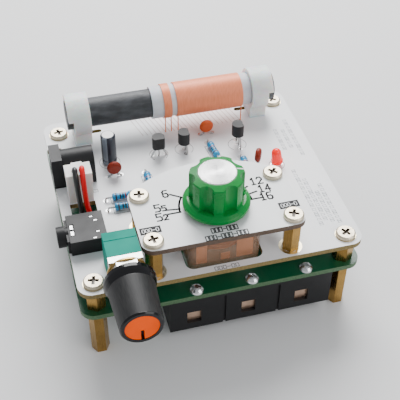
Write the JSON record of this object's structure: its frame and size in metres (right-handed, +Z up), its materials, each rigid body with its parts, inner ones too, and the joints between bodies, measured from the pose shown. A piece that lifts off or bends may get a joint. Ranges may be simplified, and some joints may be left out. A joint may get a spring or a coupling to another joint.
{
  "type": "crystal radio set",
  "caption": "Open medium-wave radio kit: stacked circuit boards on brass legs, ferrite rod aerial, clear tuning capacitor, two knobs and a battery holder below.",
  "frame": {"origin": "centre of the four leg holes, on the plane the legs rest on", "axes": "+Z up, +X to the right of someone facing the dial, -Y towards them: the volume knob points along -Y and both sockets open along -X"},
  "size_m": [0.0846, 0.096, 0.0513],
  "materials": {
    "green_board": "dark green solder mask",
    "white_board": "white solder mask",
    "brass": "machined",
    "nickel": "nickel plated",
    "tin": "tinned",
    "clear_case": "clear moulded polystyrene",
    "copper": "thin copper sheet",
    "green_knob": "polished",
    "spun_aluminium": "spun, with fine rings",
    "teal_body": "moulded",
    "zinc": "zinc plated",
    "black_plastic": "moulded",
    "black_knob": "moulded, gloss skirt",
    "orange_plastic": "moulded",
    "white_nylon": "translucent nylon",
    "carbon": "printed resistive film",
    "black_wire": "soft insulation",
    "red_wire": "soft insulation",
    "navy_sleeve": "shrunk sleeve",
    "ceramic_red": "dipped coating",
    "blue_resistor": "lacquered, with colour bands",
    "red_lens": "tinted clear",
    "ferrite": "ground",
    "paper": "wrapped paper",
    "litz": "close wound enamelled wire",
    "solder": "solder",
    "black_epoxy": "moulded epoxy"
  },
  "bodies": {
    "chassis": {"lower_board": "green_board", "upper_board": "white_board", "dial_plate": "white_board", "legs": "brass", "board_spacers": "brass", "board_screws": "nickel", "dial_posts": "brass", "dial_post_screws": "nickel", "dial_screws": "nickel", "tuner_case": "clear_case", "tuner_fixed_plates": "copper", "tuner_contact_strips": "copper", "tuner_screws": "nickel", "pot_body": "teal_body", "pot_track": "carbon", "pot_cover": "zinc", "pot_bush": "zinc", "pot_washer": "brass", "pot_nut": "zinc", "pot_pins": "tin", "audio_jack_body": "black_plastic", "audio_jack_contacts": "tin", "dc_jack_body": "black_plastic", "dc_jack_pin": "tin", "dc_jack_contacts": "tin", "battery_header": "white_nylon", "battery_plug": "white_nylon", "black_wire": "black_wire", "red_wire": "red_wire", "electrolytic_capacitor": "navy_sleeve", "disc_capacitor_1": "ceramic_red", "disc_capacitor_2": "ceramic_red", "disc_capacitor_3": "ceramic_red", "transistor_1": "black_epoxy", "transistor_2": "black_epoxy", "transistor_3": "black_epoxy", "resistors": "blue_resistor", "led": "red_lens", "component_leads": "tin", "ferrite_rod": "ferrite", "coil_sleeve": "paper", "main_winding": "litz", "small_winding": "litz", "rod_bracket_left": "white_nylon", "rod_bracket_right": "white_nylon", "battery_holder": "black_plastic", "battery_contacts": "tin", "battery_springs": "tin", "solder_joints": "solder"},
    "tuning_knob": {"tuning_knob": "green_knob", "tuning_knob_cap": "spun_aluminium", "tuning_knob_screw": "nickel", "tuner_shaft": "nickel", "tuner_moving_plates": "copper"},
    "volume_knob": {"volume_knob": "black_knob", "volume_knob_cap": "orange_plastic", "pot_shaft": "zinc", "pot_wiper": "brass"},
    "left_trimmer": {"tuner_trimmer_left": "brass"},
    "right_trimmer": {"tuner_trimmer_right": "brass"}
  },
  "joints": [
    {"name": "tuning", "type": "hinge", "parent": "chassis", "child": "tuning_knob", "pos_m": [0.0003, -0.02385, 0.04], "axis": [0, 0, 1], "range_deg": [-1, 179]},
    {"name": "volume", "type": "hinge", "parent": "chassis", "child": "volume_knob", "pos_m": [-0.0278, -0.0405, 0.034], "axis": [0, 1, 0], "range_deg": [0, 300]},
    {"name": "trim_left", "type": "hinge", "parent": "chassis", "child": "left_trimmer", "pos_m": [-0.0053, -0.01825, 0.0258], "axis": [0, 0, 1], "continuous": true},
    {"name": "trim_right", "type": "hinge", "parent": "chassis", "child": "right_trimmer", "pos_m": [0.0059, -0.01825, 0.0258], "axis": [0, 0, 1], "continuous": true}
  ]
}
